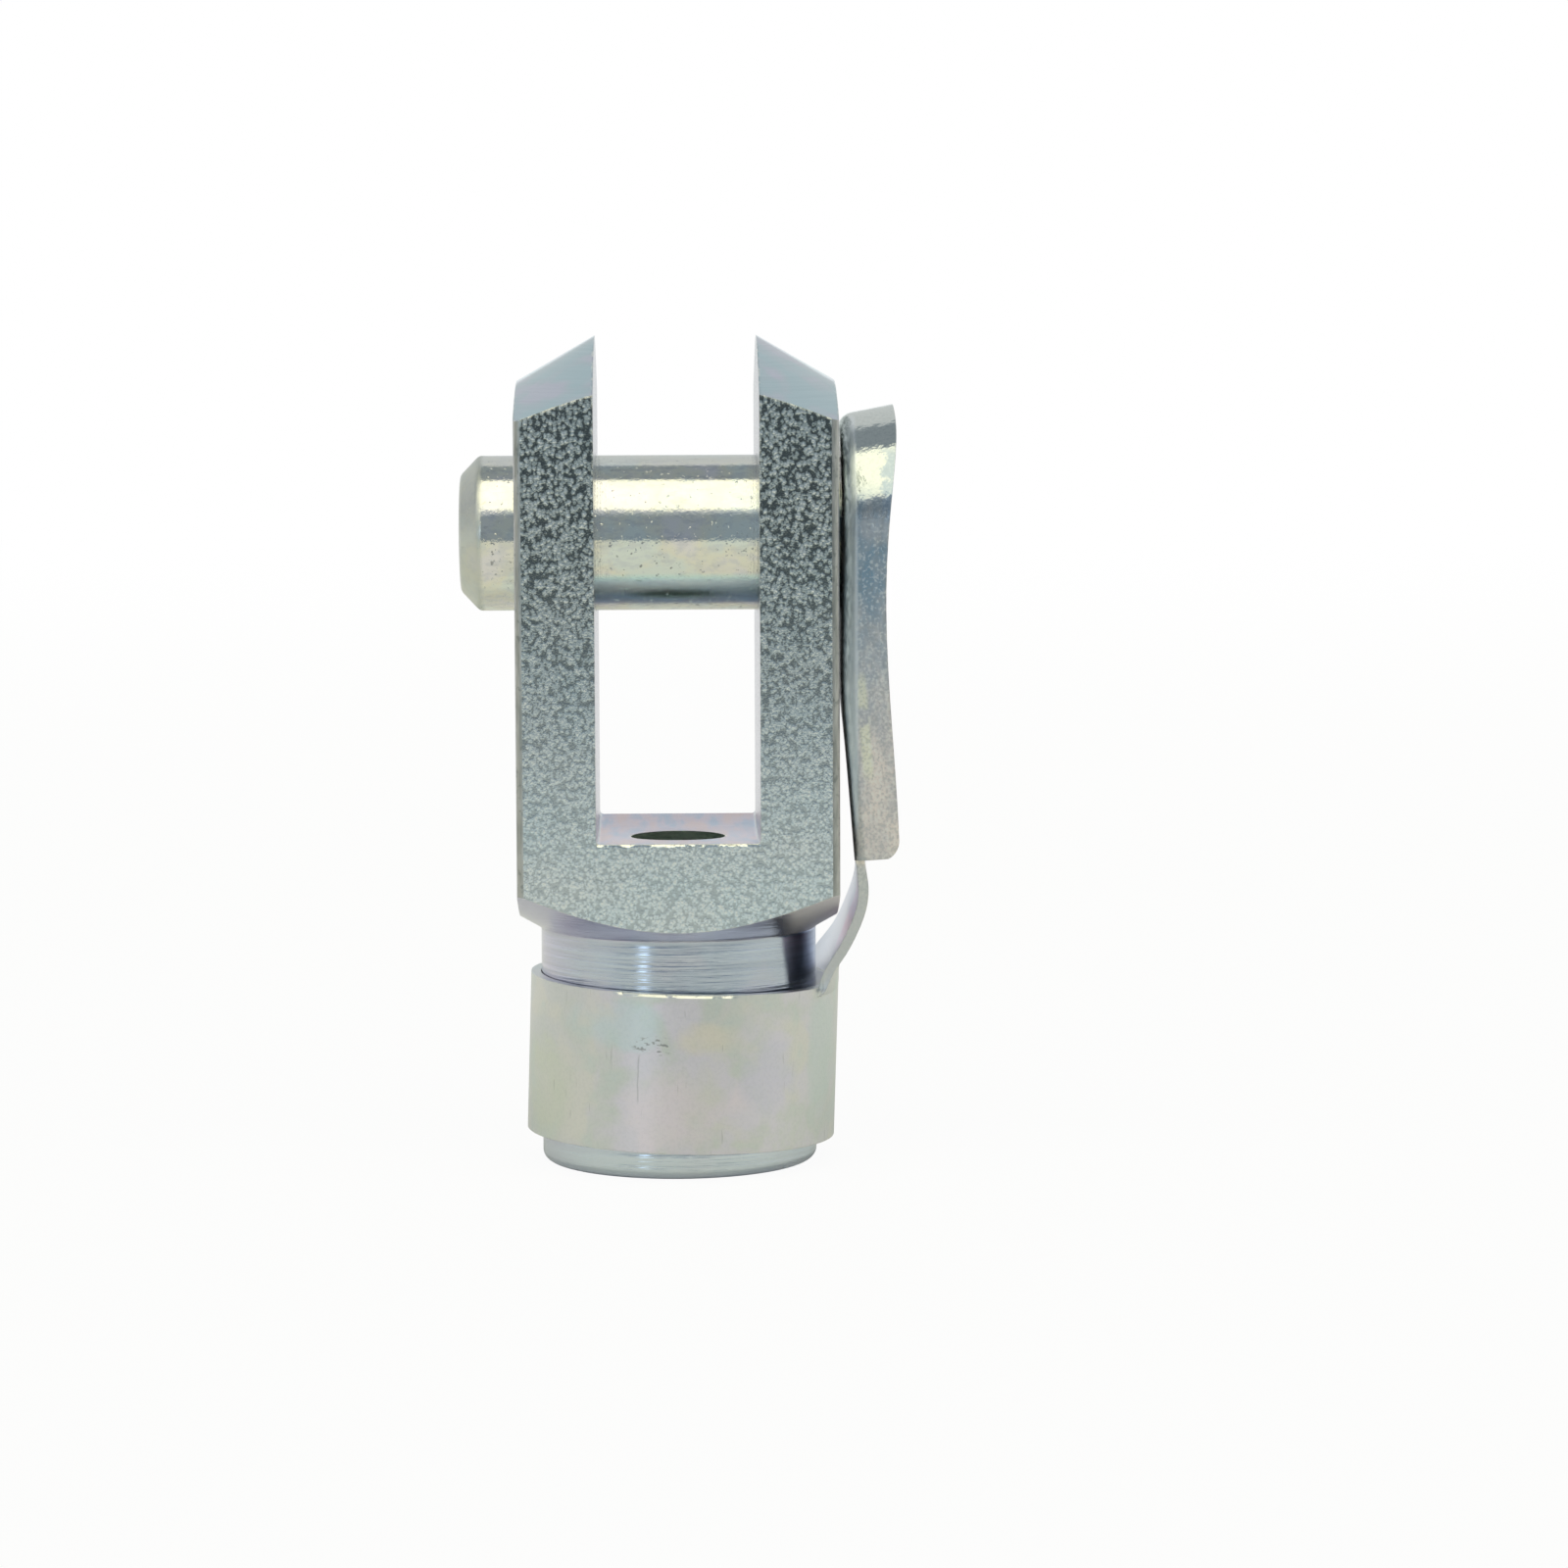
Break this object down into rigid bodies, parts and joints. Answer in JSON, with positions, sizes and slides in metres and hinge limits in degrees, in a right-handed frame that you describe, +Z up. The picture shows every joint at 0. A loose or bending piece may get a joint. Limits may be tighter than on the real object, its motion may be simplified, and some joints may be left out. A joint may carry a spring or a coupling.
{
  "type": "gas strut clevis fork",
  "caption": "Square steel clevis fork head tapped for a rod, with a cross pin held by a folded spring clip that snaps round the turned neck",
  "frame": {"origin": "centre of the neck's end face, where the rod enters", "axes": "+Z runs up the fork from the rod end to its open end, the pin lies along X with the clip on the +X side, and the slot is open to -Y, the front, and to +Y"},
  "size_m": [0.0219, 0.0161, 0.042],
  "materials": {
    "fork_zinc": "drawn and turned steel with blue-white zinc plating, grainy on the flats and finely grooved on the turned faces",
    "pin_zinc": "smooth turned steel with bright blue-white zinc plating",
    "clip_zinc": "spring steel sheet with satin zinc plating, faintly yellow and lilac"
  },
  "bodies": {
    "fork": {"clevis_fork": "fork_zinc"},
    "pin": {"clip_pin": "pin_zinc"},
    "clip": {"clip_spring": "clip_zinc"}
  },
  "joints": [
    {"name": "pin_pull", "type": "slide", "parent": "fork", "child": "pin", "axis": [1, 0, 0], "range_m": [0, 0.03]},
    {"name": "clip_swing", "type": "hinge", "parent": "pin", "child": "clip", "pos_m": [0.0085, 0, 0.032], "axis": [1, 0, 0], "range_deg": [-180, 0], "deforming": ["clip_spring"]}
  ]
}
